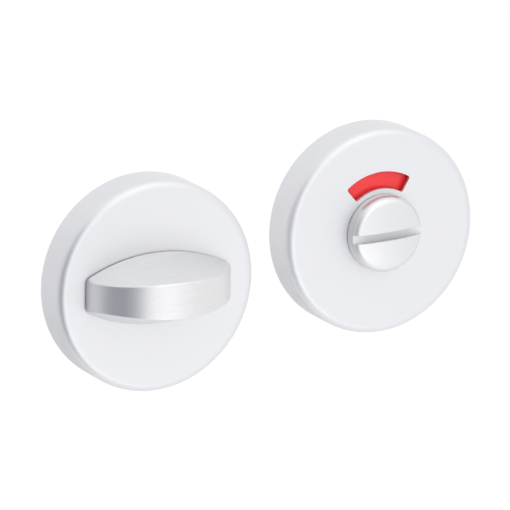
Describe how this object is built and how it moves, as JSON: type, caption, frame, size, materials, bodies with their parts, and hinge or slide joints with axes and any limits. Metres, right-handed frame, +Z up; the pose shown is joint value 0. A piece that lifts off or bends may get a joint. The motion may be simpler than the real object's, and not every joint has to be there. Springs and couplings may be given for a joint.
{
  "type": "bathroom thumb turn lock",
  "caption": "Bathroom lock set with round satin aluminium roses: a lens-shaped thumb turn on a square spindle, and a coin-slot release with a red indicator window.",
  "frame": {"origin": "where the thumb turn's axis meets the back of the inside rose, on the door face", "axes": "+Z up, -Y out of the roses towards whoever faces them, +X towards the release half"},
  "size_m": [0.1235, 0.0538, 0.052],
  "materials": {
    "satin_aluminium": "satin anodised",
    "moulded_nylon": "moulded, fine texture",
    "white_acetal": "moulded",
    "plated_steel": "zinc plated",
    "spring_steel": "oiled spring steel",
    "black_steel": "blackened",
    "insert_brass": "turned",
    "indicator_white": "moulded",
    "indicator_red": "printed film"
  },
  "bodies": {
    "roses": {"release_base": "moulded_nylon", "release_bush": "white_acetal", "release_rose_cover": "satin_aluminium", "release_threaded_inserts": "insert_brass", "release_thrust_washer": "plated_steel", "thumb_turn_base": "moulded_nylon", "thumb_turn_bush": "white_acetal", "thumb_turn_rose_cover": "satin_aluminium", "thumb_turn_thrust_washer": "plated_steel"},
    "thumb_turn": {"thumb_turn_knob": "satin_aluminium", "thumb_turn_spindle": "plated_steel", "thumb_turn_grub_screw": "black_steel", "thumb_turn_spring_washer": "spring_steel", "thumb_turn_retaining_ring": "spring_steel"},
    "release": {"release_turn": "satin_aluminium", "release_indicator_disc": "indicator_white", "release_red_sector": "indicator_red", "release_spring_washer": "spring_steel", "release_retaining_ring": "spring_steel"}
  },
  "joints": [
    {"name": "thumb_turn_swing", "type": "hinge", "parent": "roses", "child": "thumb_turn", "pos_m": [0, 0, 0], "axis": [0, -1, 0], "range_deg": [0, 90]},
    {"name": "release_swing", "type": "hinge", "parent": "roses", "child": "release", "pos_m": [0.0715, 0.0192, 0], "axis": [0, 1, 0], "range_deg": [0, 90]}
  ],
  "couplings": [
    {"joint": "release_swing", "follows": "thumb_turn_swing", "ratio": 1}
  ]
}
